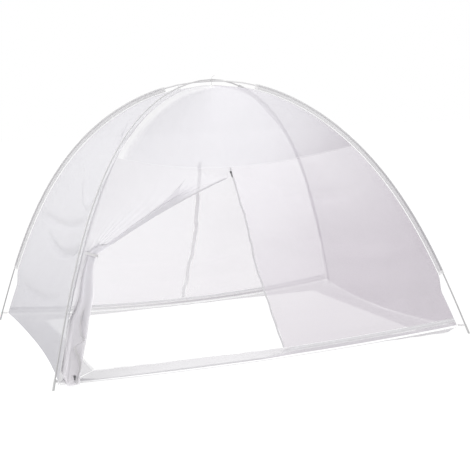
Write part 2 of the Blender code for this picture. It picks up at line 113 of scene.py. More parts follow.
def eased(at, knots, values):
    """A smooth curve through values at knots, read at an array of places."""
    slopes = np.gradient(values, knots)
    i = np.clip(np.searchsorted(knots, at) - 1, 0, len(knots) - 2)
    gap = knots[i + 1] - knots[i]
    t = (at - knots[i]) / gap
    rise = values[i + 1] - values[i]
    bend = gap * slopes[i] * t * (1 - t) ** 2 - gap * slopes[i + 1] * t * t * (1 - t)
    return values[i] + rise * t * t * (3 - 2 * t) + bend


def unit(vectors):
    return vectors / np.maximum(np.linalg.norm(vectors, axis=-1, keepdims=True), 1e-12)


# ---- the rods' line ------------------------------------------------------------------------

ARM_STEPS = 200
ARM_REACH = math.hypot(LENGTH, WIDTH) / 2


def bend_profile():
    """How far out and how far down an arm is at each step, scaled to end at its foot."""
    shares = (np.arange(ARM_STEPS) + 0.5) / ARM_STEPS
    slopes = sum(rate * shares ** (power + 1) for power, rate in enumerate(ROD_BEND))
    out = np.concatenate([[0.0], np.cumsum(np.cos(slopes))])
    fall = np.concatenate([[0.0], np.cumsum(np.sin(slopes))])
    return out * ARM_REACH / out[-1], fall * ARM_REACH / out[-1]


ARM_OUT, ARM_FALL = bend_profile()
HEIGHT = ARM_FALL[-1]
ARM_LENGTH = float(np.hypot(np.diff(ARM_OUT), np.diff(ARM_FALL)).sum())
ARM_SHARES = np.linspace(0.0, 1.0, ARM_STEPS + 1)


def share_at_height(height):
    return float(np.interp(HEIGHT - height, ARM_FALL, ARM_SHARES))


def arm_point(corner, share):
    """Points of an arm's centreline at an array of shares, from the crossing to the foot."""
    side_x, side_y, sway = CORNERS[corner][:3]
    share = np.asarray(share, float)
    reach = np.interp(share, ARM_SHARES, ARM_OUT)
    fall = np.interp(share, ARM_SHARES, ARM_FALL)
    out = np.array([side_x * LENGTH / 2, side_y * WIDTH / 2, 0.0]) / ARM_REACH
    across = np.array([-out[1], out[0], 0.0])
    lift = (ROD_RADIUS + CROSSING_GAP / 2) * np.exp(-((reach / 0.2) ** 2))
    rise = HEIGHT - fall + (lift if corner in OVER else -lift)
    swayed = sway * np.sin(np.pi * reach / ARM_REACH)
    point = reach[..., None] * out + swayed[..., None] * across
    point[..., 2] = rise
    return point


def arm_frame(corner, share):
    """Along the arm towards its foot, inward square to it, and level across it."""
    share = np.clip(np.asarray(share, float), 0.004, 1.0)
    step = 0.002
    along = unit(arm_point(corner, share + step) - arm_point(corner, share - step))
    side = unit(np.cross(along, [0.0, 0.0, -1.0]))
    inward = unit(np.cross(side, along))
    inward = np.where(inward[..., 2:] > 0, -inward, inward)
    return along, inward, side


# ---- the walls' surface --------------------------------------------------------------------

HEM_SHARE = share_at_height(HEM_SHARE_HEIGHT)
SEAM_SHARE = share_at_height(SEAM_HEIGHT)
GAP_SHARE = GAP / ARM_LENGTH


def edge_point(corner, share):
    """Where the two walls beside an arm are sewn together."""
    share = np.asarray(share, float)
    inward = arm_frame(corner, share)[1]
    foot_distance, foot_height = CORNERS[corner][3:]
    depth = NET_AT_PEAK + (NET_AT_SLEEVE - NET_AT_PEAK) * smooth(share, 0.0, SLEEVE_TOP)
    depth = depth + (foot_distance - NET_AT_SLEEVE) * smooth(
        share, SLEEVE_END - 0.005, SLEEVE_END + 0.05
    )
    point = arm_point(corner, share) + inward * depth[..., None]
    foot = np.asarray(HEM_SHARE)
    unlifted = (arm_point(corner, foot) + arm_frame(corner, foot)[1] * foot_distance)[2]
    point[..., 2] += (foot_height - unlifted) * smooth(share, SLEEVE_END, HEM_SHARE)
    return point


def wall_width(wall, share):
    first, second = WALLS[wall][:2]
    return np.linalg.norm(edge_point(first, share) - edge_point(second, share), axis=-1)


def sag_at(sags, down):
    value = sags[0]
    for i in (1, 2):
        value = value + (sags[i] - sags[i - 1]) * smooth(down, SAG_SHARES[i - 1], SAG_SHARES[i])
    return value


def wall_points(wall, share, across):
    """Points of a wall, from its first corner's edge (across 0) to its second's (across 1)."""
    first, second, way, droop, sags = WALLS[wall]
    share, across = np.broadcast_arrays(np.asarray(share, float), np.asarray(across, float))
    start, end = edge_point(first, share), edge_point(second, share)
    width = np.linalg.norm(end - start, axis=-1)
    down = (share - PEAK_SHARE) / (HEM_SHARE - PEAK_SHARE)
    corner_height = (CORNERS[first][4] + CORNERS[second][4]) / 2
    fall = droop * width * (1.0 - down) + (corner_height - HEM_MIDDLE) * smooth(down, 0.7, 1.0)
    inward = sag_at(sags, down) * width
    hang = np.stack([-way[0] * inward, -way[1] * inward, -fall], axis=-1)
    a = across[..., None]
    return start * (1.0 - a) + end * a + hang * 4.0 * a * (1.0 - a)


def across_at(wall, share, side, inset):
    """The across value this far from the first edge (side 0), zip line (0.5) or second edge (1)."""
    inset = np.broadcast_to(np.asarray(inset, float), np.shape(share))
    if side == 0.5 and wall == "front":
        inset = inset + FRONT_ZIP_SHIFT + FRONT_ZIP_DRIFT * smooth(share, 0.75, 1.0)
    step = inset / wall_width(wall, share)
    return side + step if side < 1 else side - step


def sill_share(wall):
    """The share at which the middle of a wall is the sill's height above its hem."""
    hem = wall_points(wall, HEM_SHARE, 0.5)[2]
    share = HEM_SHARE
    while wall_points(wall, share, 0.5)[2] < hem + SILL:
        share -= 0.0005
    return share


def door_ends(wall):
    """The shares of a door's top and bottom rows."""
    tape = ZIP_WIDTH / 2 / ARM_LENGTH
    return SEAM_SHARE + GAP_SHARE, sill_share(wall) - 1.15 * tape


def sill_rise(wall):
    return (HEM_SHARE - sill_share(wall)) * ARM_LENGTH


def skirt_points(wall, across, inward):
    """Points of the skirt, from the hem (inward 0) to the opening in the floor (1)."""
    first, second = WALLS[wall][:2]
    across, inward = np.broadcast_arrays(np.asarray(across, float), np.asarray(inward, float))
    outer = wall_points(wall, np.full(across.shape, HEM_SHARE), across)
    outer[..., 2] -= NET + 2 * GAP
    start, end = np.array([*OPENING[first], FLOOR_LAYER]), np.array([*OPENING[second], FLOOR_LAYER])
    inner = start + (end - start) * across[..., None]
    point = outer + (inner - outer) * inward[..., None]
    point[..., 2] = outer[..., 2] + (FLOOR_LAYER - outer[..., 2]) * smooth(inward, 0.0, SKIRT_DROP)
    return point


def sill_points(wall, rise, across):
    """Points of the strip under a door. The front's open half has fallen in over the skirt."""
    rise, across = np.broadcast_arrays(np.asarray(rise, float), np.asarray(across, float))
    standing = wall_points(wall, HEM_SHARE - rise / ARM_LENGTH, across)
    if wall != "front":
        return standing
    lying = skirt_points(wall, across, rise / SKIRT_WIDTH)
    lying[..., 2] += NET + 2 * GAP + FALLEN_CLEARANCE * smooth(rise, 0.0, 0.015)
    leaning = CORNER_LEAN + (1.0 - CORNER_LEAN) * smooth(across, 0.0, 0.08)
    fallen = leaning * (1.0 - smooth(across, 0.47, 0.57))
    return standing + (lying - standing) * fallen[..., None]


# ---- folds of the cloth --------------------------------------------------------------------

CREASES = {
    # wall: rows of (u, v at one end, u, v at the other, bow, width, depth). u is metres from
    # the wall's middle line, v is metres from the peak along the arm, the bow is how far the
    # middle of the crease hangs below its ends, and a negative depth is a ridge.
    "left": (
        (-0.10, 0.62, 0.10, 0.60, 0.20, 0.025, 0.016),
        (-0.22, 1.05, 0.34, 1.02, 0.22, 0.020, -0.018),
        (-0.56, 1.38, 0.06, 1.34, 0.06, 0.024, 0.020),
        (-0.43, 1.51, 0.08, 1.49, 0.085, 0.018, 0.030),
        (0.05, 1.60, 0.55, 1.80, -0.04, 0.022, 0.016),
        (-0.60, 1.86, 0.10, 1.78, 0.04, 0.020, 0.014),
    ),
    "right": (
        (-0.35, 0.90, 0.30, 0.85, 0.16, 0.050, 0.018),
        (-0.45, 1.35, 0.40, 1.30, 0.14, 0.050, -0.016),
        (0.10, 1.55, 0.62, 1.86, -0.03, 0.040, 0.014),
        (-0.60, 1.70, 0.00, 1.88, 0.05, 0.040, 0.012),
    ),
    "front": (
        (0.10, 0.95, 0.62, 1.20, 0.08, 0.050, 0.012),
        (0.16, 1.40, 0.85, 1.62, 0.06, 0.055, -0.012),
        (0.10, 1.75, 0.70, 1.90, -0.03, 0.045, 0.010),
    ),
    "back": (
        (-0.55, 1.05, -0.10, 1.20, 0.08, 0.050, 0.012),
        (0.15, 1.10, 0.60, 1.30, 0.10, 0.050, 0.014),
        (-0.70, 1.60, -0.05, 1.78, 0.04, 0.045, -0.012),
        (0.10, 1.70, 0.80, 1.60, 0.05, 0.045, 0.012),
    ),
}


def crease(u, v, row):
    """The depth of one crease at each point: a soft trough along a bowed line."""
    u0, v0, u1, v1, bow, width, depth = row
    reach = math.hypot(u1 - u0, v1 - v0)
    way = ((u1 - u0) / reach, (v1 - v0) / reach)
    along = ((u - u0) * way[0] + (v - v0) * way[1]) / reach
    off = -(u - u0) * way[1] + (v - v0) * way[0]
    off = off - bow * 4.0 * along * (1.0 - along)
    ends = smooth(along, -0.12, 0.18) * (1.0 - smooth(along, 0.82, 1.12))
    return depth * np.exp(-((off / width) ** 2)) * ends


def ripple(u, v, seed):
    """Low, long unevenness of hanging net."""
    wave = 0.0035 * np.sin(9.0 * u + 4.0 * np.sin(2.1 * v + seed) + seed)
    wave = wave + 0.0028 * np.sin(6.5 * v + 3.0 * np.sin(3.1 * u + 2.0 * seed))
    return wave + 0.0012 * np.sin(23.0 * u + 11.0 * v + 5.0 * np.sin(5.0 * u - seed))


def inward_push(wall, u, v):
    """How far folds push the cloth inward at each point."""
    push = ripple(u, v, len(wall))
    for row in CREASES[wall]:
        push = push + crease(u, v, row)
    return push


# ---- making meshes -------------------------------------------------------------------------


def stops(size, step, low_hem, high_hem):
    """Shares from 0 to 1 about a step apart, with stops at the inner edge of each hem."""
    count = max(2, round(size / step))
    values = set(np.linspace(0.0, 1.0, count + 1))
    if low_hem:
        values |= {low_hem / size, 1.1 * low_hem / size}
    if high_hem:
        values |= {1.0 - high_hem / size, 1.0 - 1.1 * high_hem / size}
    return np.array(sorted(values))


def add_object(name, data):
    obj = bpy.data.objects.new(name, data)
    bpy.context.scene.collection.objects.link(obj)
    return obj


def cloth_uv(points):
    """Flat coordinates of a grid in metres, measured along its middle row and its columns."""
    steps = np.linalg.norm(np.diff(points, axis=1), axis=-1)
    across = np.concatenate([np.zeros((len(points), 1)), np.cumsum(steps, axis=1)], axis=1)
    across -= across.mean(axis=1, keepdims=True)
    drops = np.linalg.norm(np.diff(points, axis=0), axis=-1).mean(axis=1)
    down = np.concatenate([[0.0], np.cumsum(drops)])
    return np.stack([across, np.broadcast_to(down[:, None], across.shape)], axis=-1)


def grid_piece(node, points, band, look):
    """A sheet one layer thick in place of a CAD node, through a grid of points. band is 1 on
    hems, less on seams and on a band of painted highlight by a sleeve, and 0 on plain net."""
    name = f"{node}_cloth"
    rows, columns = points.shape[:2]
    index = np.arange(rows * columns).reshape(rows, columns)
    faces = np.stack(
        [index[:-1, :-1], index[1:, :-1], index[1:, 1:], index[:-1, 1:]], axis=-1
    ).reshape(-1, 4)
    mesh = bpy.data.meshes.new(name)
    mesh.from_pydata(points.reshape(-1, 3).tolist(), [], faces.tolist())
    mesh.shade_smooth()
    uv = cloth_uv(points).reshape(-1, 2)[faces.ravel()].astype(np.float32)
    mesh.uv_layers.new(name="cloth").data.foreach_set("uv", uv.ravel())
    marks = np.broadcast_to(band, (rows, columns)).astype(np.float32)
    mesh.attributes.new("band", "FLOAT", "POINT").data.foreach_set("value", marks.ravel())
    mesh.materials.append(look)
    obj = add_object(name, mesh)
    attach(obj, "root")
    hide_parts(node)
    return obj


def outward(points, wall):
    """Unit normals of a wall's grid, out of the tent."""
    normal = unit(np.cross(np.gradient(points, axis=0), np.gradient(points, axis=1)))
    way = np.array([*WALLS[wall][2], 0.3])
    flip = np.sign((normal * way).sum(axis=-1, keepdims=True))
    return normal * np.where(flip == 0, 1, flip)


# ---- wall panels ---------------------------------------------------------------------------

EDGE = SEAM_GAP / 2
TAPE_EDGE = ZIP_WIDTH / 2 + GAP


def edge_band(hem, distance):
    """How much a piece shows as hem at each distance from its edge."""
    # The band of painted highlight fades out softly away from the edge.
    if hem == HIGHLIGHT_EDGE:
        return HIGHLIGHT_SHOWS * (1.0 - smooth(distance, 0.5 * hem, 1.1 * hem))
    shows = 1.0 if hem == HEM else SEAM_SHOWS
    return shows * (distance < hem * HEM_REACH)


def panel(name, wall, share_ends, start, end, hems, look):
    """Part of a wall. start and end are (side, inset), hems are (top, bottom, first, second)."""
    top, bottom = share_ends
    drop = (bottom - top) * ARM_LENGTH
    rows = top + (bottom - top) * stops(drop, CLOTH_STEP, hems[0], hems[1])
    low, high = across_at(wall, rows, *start), across_at(wall, rows, *end)
    widths = wall_width(wall, rows)
    middle_width = float((high - low).mean() * widths.mean())
    columns = stops(middle_width, CLOTH_STEP, hems[2], hems[3])
    across = low[:, None] + (high - low)[:, None] * columns
    points = wall_points(wall, rows[:, None], across)
    u = (across - 0.5) * widths[:, None]
    v = np.broadcast_to((rows * ARM_LENGTH)[:, None], u.shape)
    span = (high - low)[:, None] * widths[:, None]
    above, below = v - top * ARM_LENGTH, bottom * ARM_LENGTH - v
    distances = (above, below, columns * span, (1.0 - columns) * span)
    freedom = np.ones_like(u)
    for distance in distances:
        freedom = freedom * smooth(distance, 0.0, FIXED_REACH)
    points = points - outward(points, wall) * (inward_push(wall, u, v) * freedom)[..., None]
    band = np.zeros_like(u)
    for hem, distance in zip(hems, distances):
        if hem:
            band = np.maximum(band, edge_band(hem, distance))
    obj = grid_piece(name, points, band, look)


def make_panels(looks):
    whole = (PEAK_SHARE, HEM_SHARE)
    first, second = (0, EDGE), (1, EDGE)
    for wall in ("left", "right"):
        panel(f"{wall}_wall", wall, whole, first, second, (0, HEM, 0, 0), looks[wall])
    # The front upper panel's edge by the front-left arm gets a band of painted highlight.
    for wall, highlight_edge in (("front", HIGHLIGHT_EDGE), ("back", 0)):
        upper = (PEAK_SHARE, SEAM_SHARE - GAP_SHARE)
        hems = (0, SEAM, highlight_edge, 0)
        look = looks["front_upper" if wall == "front" else "back"]
        panel(f"{wall}_upper_panel", wall, upper, first, second, hems, look)
    past_zip, short_of_zip = (0.5, TAPE_EDGE), (0.5, -TAPE_EDGE)
    ends = door_ends("back")
    panel("back_door_left", "back", ends, past_zip, second, NO_HEMS, looks["back"])
    panel("back_door_right", "back", ends, first, short_of_zip, NO_HEMS, looks["back"])
    ends = door_ends("front")
    panel("front_door_right", "front", ends, past_zip, second, NO_HEMS, looks["front"])


# ---- zips and strips -----------------------------------------------------------------------

TEETH_RIDGE = 0.0014  # how far a zip's coil stands out of its tape
TEETH_WIDTH = 0.0045
CLOSED_TEETH, OPEN_TEETH = 0.5, 0.12  # where they are across a closed zip and half an open one


def ribbon(name, line, across, look, ridge_at=None):
    """A narrow tape. line holds its two edges, as arrays of points; ridge_at is the share of
    its width where its teeth stand out."""
    shares = np.array(across)
    one, other = line
    points = one[:, None] + (other - one)[:, None] * shares[:, None]
    if ridge_at is not None:
        normal = unit(np.cross(np.gradient(points, axis=0), np.gradient(points, axis=1)))
        normal = normal * np.sign(normal[..., 1:2] * -1.0 + 1e-9)
        width = float(np.linalg.norm(other - one, axis=-1).mean())
        ridge = np.exp(-(((shares - ridge_at) * width / (TEETH_WIDTH / 2)) ** 4))
        points = points + normal * (TEETH_RIDGE * ridge)[:, None]
    obj = grid_piece(name, points, 0.0, look)


ACROSS_ZIP = (0.0, 0.2, 0.36, 0.42, 0.46, 0.5, 0.54, 0.58, 0.64, 0.8, 1.0)
ACROSS_HALF = (0.0, 0.08, 0.16, 0.26, 0.4, 0.7, 1.0)


def upright_zip(name, wall, low, high, columns, ridge_at, look):
    shares = np.linspace(*door_ends(wall), 110)
    down = shares * ARM_LENGTH
    wobble = 0.0016 * np.sin(31.0 * down) + 0.001 * np.sin(57.0 * down)
    edges = []
    for inset in (low, high):
        edge = wall_points(wall, shares, across_at(wall, shares, 0.5, inset))
        edges.append(edge + np.array([1.0, 0.0, 0.0]) * wobble[:, None])
    ribbon(name, edges, columns, look, ridge_at=ridge_at)


def level_zip(name, wall, rises, start, end, columns, ridge_at, look):
    """A zip along the bottom of a door, between two rises above the hem."""
    edges = []
    for rise in rises:
        share = np.asarray(HEM_SHARE - rise / ARM_LENGTH)
        low, high = across_at(wall, share, *start), across_at(wall, share, *end)
        edges.append(sill_points(wall, rise, np.linspace(low, high, 140)))
    ribbon(name, edges, columns, look, ridge_at=ridge_at)


def make_zips(looks):
    light, low = looks["light_tape"], looks["low_tape"]
    half = ZIP_WIDTH / 2
    first, second = (0, EDGE), (1, EDGE)
    upright_zip("back_zip", "back", -half, half, ACROSS_ZIP, CLOSED_TEETH, light)
    tape = looks["tape"]
    upright_zip("front_zip_right_tape", "front", GAP, half, ACROSS_HALF, OPEN_TEETH, tape)
    rise = sill_rise("back")
    ends = (rise + half, rise - half)
    level_zip("back_bottom_zip", "back", ends, first, second, ACROSS_ZIP, CLOSED_TEETH, light)
    rise = sill_rise("front")
    ends, closed = (rise + half, rise - half), (0.5, GAP)
    level_zip("front_bottom_zip", "front", ends, closed, second, ACROSS_ZIP, CLOSED_TEETH, low)
    ends, opened = (rise, rise - half), (0.5, -GAP)
    level_zip("front_sill_tape", "front", ends, first, opened, ACROSS_HALF, OPEN_TEETH, low)


def make_sills(looks):
    for wall in ("front", "back"):
        top = sill_rise(wall) - ZIP_WIDTH / 2 - 3 * GAP
        rise = top * np.array([1.0, 0.75, 0.5, HEM / top, 0.95 * HEM / top, 0.0])[:, None]
        across = np.linspace(0.0015, 0.9985, 150)[None, :]
        points = sill_points(wall, rise, across)
        obj = grid_piece(f"{wall}_sill", points, rise < HEM, looks["sill"])


# ---- the open door half, tied back ---------------------------------------------------------

FLAP_ROOT_GAP = 0.006  # between the arm's seam and the start of the bunch
TIE_RUN, DROP_RUN, FOOT_RUN = 0.056, 0.084, 0.070  # the bunch's breadth at tie, middle and foot
NECK_DIP = 0.022  # how much lower the tie is on the bunch's free side
STILL_ZIPPED = 0.055  # length of the zip that is still closed, from the seam to its slider
BOW_IN, BOW_UP = 0.020, 0.019  # how far the free edge bows on its way to the tie
FOOT_FORWARD, FLAP_DROP = 0.030, 0.058  # how far the bunch's foot stands forward and hangs down
PLEATS, CRUMPLE = 14, 0.0012
LAYERS = 9  # of the roll and the bunch, an odd number so that the free edge ends outermost
TURN_UNEVENNESS, TURN_DRIFT = 0.13, 0.05  # of the places where the layers turn back
NEAREST_TURN = 0.03  # the place nearest the arm where a layer turns back
# share of the cloth left in a single layer, place where the layers start, and their depth
ROLL_SINGLE, ROLL_START, ROLL_DEPTH = 0.62, 0.88, 0.026
BUNCH_SINGLE, BUNCH_START, BUNCH_DEPTH = 0.22, 0.42, 0.042
ROLLED_BY = 0.55  # way down to where the free edge is all rolled
BUNCHED_FROM, BUNCHED_BY = 0.86, 1.02  # way down to where the roll passes into the bunch
TAPE_ROUTE = (
    # way down the flap, place over its breadth, distance in front of it
    (0.93, 0.97, -0.022),
    (1.00, 0.85, -0.022),
    (1.25, 0.80, 0.000),
    (1.50, 0.52, 0.012),
    (1.64, 0.51, 0.034),
    (1.70, 0.74, 0.034),
    (1.745, 0.25, 0.040),
    (1.815, 0.59, 0.040),
    (1.877, 0.77, 0.036),
    (1.93, 0.75, 0.034),
    (1.99, 0.74, 0.034),
)


def flap_root(share):
    return edge_point("front_left", share) + np.array([EDGE, 0.0, 0.0])


def flap_neck(across):
    run = FLAP_ROOT_GAP + TIE_RUN * across
    offset = np.stack([run, 0.0 * across, -NECK_DIP * across], axis=-1)
    return flap_root(np.asarray(TIE_SHARE)) + offset


def flap_upper(across, down):
    """The flap between the seam over the door and the tie."""
    top_share = SEAM_SHARE + GAP_SHARE
    start = float(across_at("front", np.asarray(top_share), 0, EDGE))
    end = float(across_at("front", np.asarray(top_share), 0.5, 0.0))
    top = wall_points("front", np.full(across.shape, top_share), start + (end - start) * across)
    straight_start = wall_points("front", top_share, start)
    point = top + (flap_neck(across) - top) * down[..., None]
    root = flap_root(top_share + (TIE_SHARE - top_share) * down)
    straight = straight_start + (flap_neck(np.zeros(1)) - straight_start) * down[..., None]
    point = point + (root - straight) * ((1.0 - across) ** 3)[..., None]
    zipped = STILL_ZIPPED * across**4 * smooth(down, 0.0, 0.012) * (1.0 - down)
    bow = np.sin(np.pi * down) * across
    slack = np.stack([0.0 * bow, BOW_IN * bow, BOW_UP * bow - zipped], axis=-1)
    return point + slack


def flap_lower(across, down):
    """The bunch that hangs from the tie beside the arm's lower end."""
    end = door_ends("front")[1]
    share = TIE_SHARE + (end - TIE_SHARE) * down
    run = TIE_RUN + (DROP_RUN - TIE_RUN) * smooth(down, 0.1, 0.4)
    run = run + (FOOT_RUN - DROP_RUN) * smooth(down, 0.5, 1.0)
    forward = FOOT_FORWARD * smooth(across, 0.0, 0.2) * smooth(down, 0.5, 1.0)
    drop = FLAP_DROP * smooth(across, 0.0, 0.3) * down**2 + NECK_DIP * across * (1.0 - down)
    return flap_root(share) + np.stack([FLAP_ROOT_GAP + run * across, -forward, -drop], axis=-1)


def back_and_forth(across, down, single, first):
    """(place, share of the depth) of cloth laid back and forth in LAYERS.

    Up to the share single it is one layer, which ends at the place first.
    """
    turn = LAYERS * np.clip((across - single) / (1.0 - single), 0.0, 1.0)
    uneven = TURN_UNEVENNESS * np.sin(2.1 * np.floor(turn) + 2.0 * down)
    uneven = uneven + TURN_DRIFT * np.sin(7.0 * down + turn)
    swing = 0.5 - 0.5 * np.cos(np.pi * turn)
    left = np.clip(first + uneven * (1.0 - first) * (1.0 - swing), NEAREST_TURN, 1.0)
    return np.where(turn > 0, left + (1.0 - left) * swing, first * across / single), turn / LAYERS


def folded(across, down):
    """(place over the flap's breadth, depth) of each strip of the cloth.

    Over the door the free edge hangs in a thin roll, and from the tie down all the cloth is
    bunched but a single layer by the arm.
    """
    rolled, roll_depth = back_and_forth(across, down, ROLL_SINGLE, ROLL_START)
    first = BUNCH_START * (1.0 - smooth(down, 1.35, 1.7))
    bunch, bunch_depth = back_and_forth(across, down, BUNCH_SINGLE, first)
    roll = smooth(down, 0.0, ROLLED_BY)
    place = across + roll * (rolled - across)
    depth = ROLL_DEPTH * roll * roll_depth
    bunched = smooth(down, BUNCHED_FROM, BUNCHED_BY)
    centred = BUNCH_DEPTH * (bunch_depth - 0.5) * smooth(across, 0.0, BUNCH_SINGLE)
    return place + bunched * (bunch - place), depth + bunched * (centred - depth)


def flap_points(across, down):
    """down runs from 0 at the seam to 1 at the tie and 2 at the bottom."""
    across, down = np.broadcast_arrays(np.asarray(across, float), np.asarray(down, float))
    place, depth = folded(across, down)
    upper = flap_upper(place, np.minimum(down, 1.0))
    lower = flap_lower(place, np.maximum(down - 1.0, 0.0))
    point = np.where((down <= 1.0)[..., None], upper, lower)
    crumple = CRUMPLE * smooth(down, 0.05, 0.9) * smooth(across, 0.1, 0.4)
    phase = PLEATS * across + 0.18 * np.sin(5.0 * across + 2.0 * down) + 0.1 * np.sin(17.0 * across)
    push = crumple * np.sin(2.0 * np.pi * phase) * (0.8 + 0.3 * np.sin(9.0 * across + 6.0 * down))
    push = push + depth
    sway = 0.004 * smooth(down, 0.9, 1.2) * np.sin(9.0 * down + 14.0 * across)
    return point + np.stack([sway, -push, 0.0 * push], axis=-1)


def make_flap(look):
    across = np.linspace(0.0, 1.0, 260)[None, :]
    over = np.concatenate([[0.0, 0.006, 0.012], np.linspace(0.024, 1.0, 42)])
    down = np.concatenate([over, np.linspace(1.0, 2.0, 48)[1:]])[:, None]
    obj = grid_piece("front_door_left", flap_points(across, down), 0.0, look)


def make_flap_tape(look):
    """The open half's side of the zip: rolled in with its free edge as far as the tie, then
    among the bunch's folds and loose to its foot."""
    down = np.linspace(0.02, 0.90, 64)
    edge = flap_points(np.ones_like(down), down) + np.array([0.0, 0.003, 0.0])
    within = unit(unit(flap_upper(np.full_like(down, 0.9), down) - edge) + [0.0, 0.5, 0.0])
    hanging = [[edge], [edge + within * ZIP_WIDTH / 2]]
    downs, places, fronts = (np.array(column) for column in zip(*TAPE_ROUTE))
    steps = np.linspace(0.0, 1.0, 90)
    knots = np.linspace(0.0, 1.0, len(downs))
    downs, places, fronts = (eased(steps, knots, column) for column in (downs, places, fronts))
    tail = flap_lower(places, downs - 1.0) + np.stack([0 * fronts, -fronts, 0 * fronts], axis=-1)
    twist = 1.2 * np.sin(7.0 * downs)
    wide = np.stack([np.cos(twist), 0.6 * np.sin(twist), 0.3 + 0.0 * twist], axis=-1)
    hanging[0].append(tail)
    hanging[1].append(tail + unit(wide) * ZIP_WIDTH / 2)
    edges = [np.concatenate(side) for side in hanging]
    teeth = 1.0 - OPEN_TEETH
    ribbon("front_zip_left_tape", edges, ACROSS_HALF, look, ridge_at=teeth)


def make_tie_band(look):
    centre = flap_lower(np.asarray([0.5]), np.asarray([0.015]))[0]
    outer_run, inner_run, half_depth, straight = 0.026, 0.012, 0.0245, 0.014
    turns = np.linspace(-np.pi / 2, np.pi / 2, 24)
    round_runs = straight + half_depth * np.cos(turns)
    runs = np.concatenate([[-outer_run, -outer_run / 2], round_runs, [-inner_run]])
    depths = np.concatenate([[-half_depth, -half_depth], half_depth * np.sin(turns), [half_depth]])
    path = centre + np.stack([runs, depths, -NECK_DIP / TIE_RUN * runs], axis=-1)
    height = np.array([0.0, 0.0, 0.007])
    pinch = np.array([0.0, 0.3, 0.7, 1.0])
    edges = [path + height, path - height]
    ribbon("tie_back_band", edges, pinch, look)


# ---- sleeves, skirt, straps ----------------------------------------------------------------

SLEEVE_END_HEM = 0.018
SLEEVE_COLUMNS, SLEEVE_SEAM_COLUMNS = 25, 2
SLEEVE_OPEN = 0.12  # radians between the inner side and each long edge


def make_sleeve(corner, look):
    """A strip of net folded round the arm, its two long edges sewn together on the inner side."""
    shares = np.linspace(SLEEVE_TOP, SLEEVE_END, 190)
    _, inward, side = arm_frame(corner, shares)
    half_depth, half_width = SLEEVE_DEPTH / 2, SLEEVE_WIDTH / 2
    centre = arm_point(corner, shares) + inward * (half_depth - SLEEVE_OUT)
    start, end = np.pi / 2 + SLEEVE_OPEN, 5 * np.pi / 2 - SLEEVE_OPEN
    turns = np.linspace(start, end, SLEEVE_COLUMNS)
    along = shares * ARM_LENGTH
    gather = 1.0 + 0.04 * np.sin(40.0 * along + 2.0 * np.sin(13.0 * along))
    wide = half_width * gather[:, None] * np.cos(turns)
    deep = half_depth * np.sin(turns)
    pucker = 0.0005 * np.sin(160.0 * along)[:, None] * np.maximum(np.sin(turns), 0.0)
    points = (
        centre[:, None]
        + side[:, None] * wide[..., None]
        + inward[:, None] * (deep + pucker)[..., None]
    )
    ends = np.minimum(along - along[0], along[-1] - along)[:, None]
    columns = np.arange(SLEEVE_COLUMNS)
    from_edge = np.minimum(columns, columns[::-1])[None, :]
    band = np.maximum(ends < SLEEVE_END_HEM, from_edge < SLEEVE_SEAM_COLUMNS)
    obj = grid_piece(f"sleeve_{corner}", points, band, look)


def make_skirt(wall, look):
    inward = stops(SKIRT_WIDTH, 0.012, 0, HEM)[:, None]
    length = float(wall_width(wall, np.asarray(HEM_SHARE)))
    inset = SEAM_GAP / length
    across = np.linspace(inset, 1.0 - inset, 130)[None, :]
    points = skirt_points(wall, across, inward)
    u = (across - 0.5) * length
    lift = 0.0012 * (1 + np.sin(24.0 * u + 3.0 * np.sin(7.0 * u) + 8.0 * inward + len(wall)))
    lift = lift * smooth(inward, 0.05, 0.3) + 0.0 * u
    points[..., 2] += lift
    band = (1.0 - inward) * SKIRT_WIDTH < HEM * HEM_REACH
    obj = grid_piece(f"{wall}_skirt", points, band, look)


def make_corner_strap(corner, look):
    along = arm_frame(corner, np.asarray(HEM_SHARE))[0]
    start = edge_point(corner, np.asarray(HEM_SHARE)) - along * 0.012
    end = arm_point(corner, np.asarray(HEM_SHARE)) - along * 0.010
    way = unit(end - start)
    reach = np.linspace(0.004, np.linalg.norm(end - start) - TIP_RADIUS - 2 * GAP, 9)
    line = start + way * reach[:, None]
    line = line + along * (0.0015 * np.sin(np.linspace(0, np.pi, 9)))[:, None]
    edges = [line - along * 0.006, line + along * 0.006]
    name = f"corner_strap_{corner}"
    ribbon(name, edges, (0.0, 0.15, 0.5, 0.85, 1.0), look)


def make_peak_tie(look):
    """A short cord from the net's peak up past the crossing, with its free end up."""
    peak = HEIGHT - NET_AT_PEAK - 0.006
    route = [
        (0.0, 0.0, peak + 0.009),
        (0.0, -0.005, peak + 0.017),
        (0.0, -0.009, HEIGHT),
        (0.0, -0.003, HEIGHT + 0.0125),
        (0.004, 0.002, HEIGHT + 0.021),
        (0.021, 0.004, HEIGHT + 0.027),
    ]
    curve = bpy.data.curves.new("peak_tie_cord", "CURVE")
    curve.dimensions = "3D"
    curve.bevel_depth = 0.0015
    curve.bevel_resolution = 3
    curve.use_fill_caps = True
    line = curve.splines.new("NURBS")
    line.points.add(len(route) - 1)
    for place, point in zip(line.points, route):
        place.co = (*point, 1.0)
    line.use_endpoint_u = True
    line.order_u = 4
    line.resolution_u = 12
    curve.materials.append(look)
    obj = add_object("peak_tie_cord", curve)
    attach(obj, "root")
    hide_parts("peak_tie")


# ---- materials -----------------------------------------------------------------------------

MESH_PITCH = 0.0017  # between the holes of the net
SHADE_FOOT_HEIGHT, SHADE_TOP_HEIGHT = 0.1, 1.25  # where the painted shade of the net and the rods, darker towards the foot, starts and stops changing
HEM_COVER, HEM_COLOUR = 0.8, (0.98, 0.98, 0.98)
SLEEVE_HEM = (0.70, 0.695, 0.70)  # colour of the sleeves' hems
CLOUDS, YARNS, HOLE_CONTRAST = 0.12, 0.035, 0.14  # how much each changes the net's density


